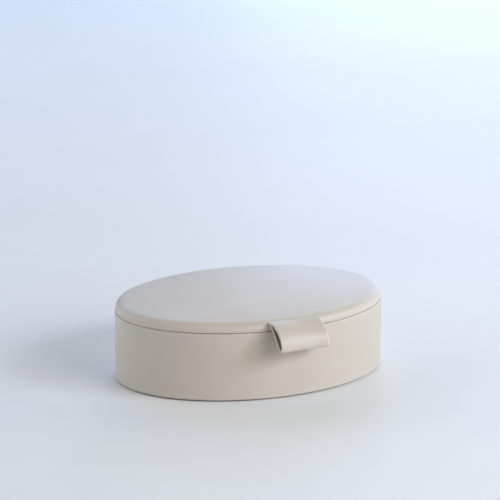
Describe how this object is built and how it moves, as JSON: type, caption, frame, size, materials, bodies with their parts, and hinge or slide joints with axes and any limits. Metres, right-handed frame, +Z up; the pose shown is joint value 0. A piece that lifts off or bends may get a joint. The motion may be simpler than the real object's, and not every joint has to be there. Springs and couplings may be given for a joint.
{
  "type": "hat box",
  "caption": "Low oval leather-covered box: padded lift-off lid on an inner locating collar, suede-lined compartment and a leather loop pull tab at the front",
  "frame": {"origin": "centre of the flat felt face that the box stands on", "axes": "+X along the oval's long axis, front with the pull tab towards -Y, +Z up, the way the lid lifts"},
  "size_m": [0.222, 0.1856, 0.0662],
  "materials": {
    "leather_ivory": "satin",
    "suede_lining": "matte",
    "bent_ply": "matte",
    "fibreboard": "matte",
    "grey_card": "matte",
    "foam": "matte",
    "felt": "matte",
    "staple_wire": "satin"
  },
  "bodies": {
    "base": {"base_wall": "bent_ply", "base_floor_board": "fibreboard", "base_infill_card": "grey_card", "base_bottom_cover": "felt", "base_side_wrap": "leather_ivory", "locating_collar": "grey_card", "base_side_lining": "suede_lining", "floor_pad_card": "grey_card", "floor_pad_foam": "foam", "floor_pad_cover": "suede_lining"},
    "lid": {"lid_rim_ring": "bent_ply", "lid_top_board": "fibreboard", "lid_pad_foam": "foam", "lid_leather_cover": "leather_ivory", "lid_rim_lining": "suede_lining", "lid_lining_card": "grey_card", "lid_lining_cover": "suede_lining", "tab_tail": "leather_ivory", "tab_tail_staples": "staple_wire"},
    "tab": {"pull_tab_face": "leather_ivory", "pull_tab_lining": "leather_ivory"}
  },
  "joints": [
    {"name": "lid_lift", "type": "slide", "parent": "base", "child": "lid", "axis": [0, 0, 1], "range_m": [0, 0.1]},
    {"name": "tab_bend", "type": "hinge", "parent": "lid", "child": "tab", "pos_m": [0, -0.084, 0.06145], "axis": [-1, 0, 0], "range_deg": [-25, 80], "stiffness_Nm_per_rad": 0.06, "springref_deg": 0.34}
  ]
}
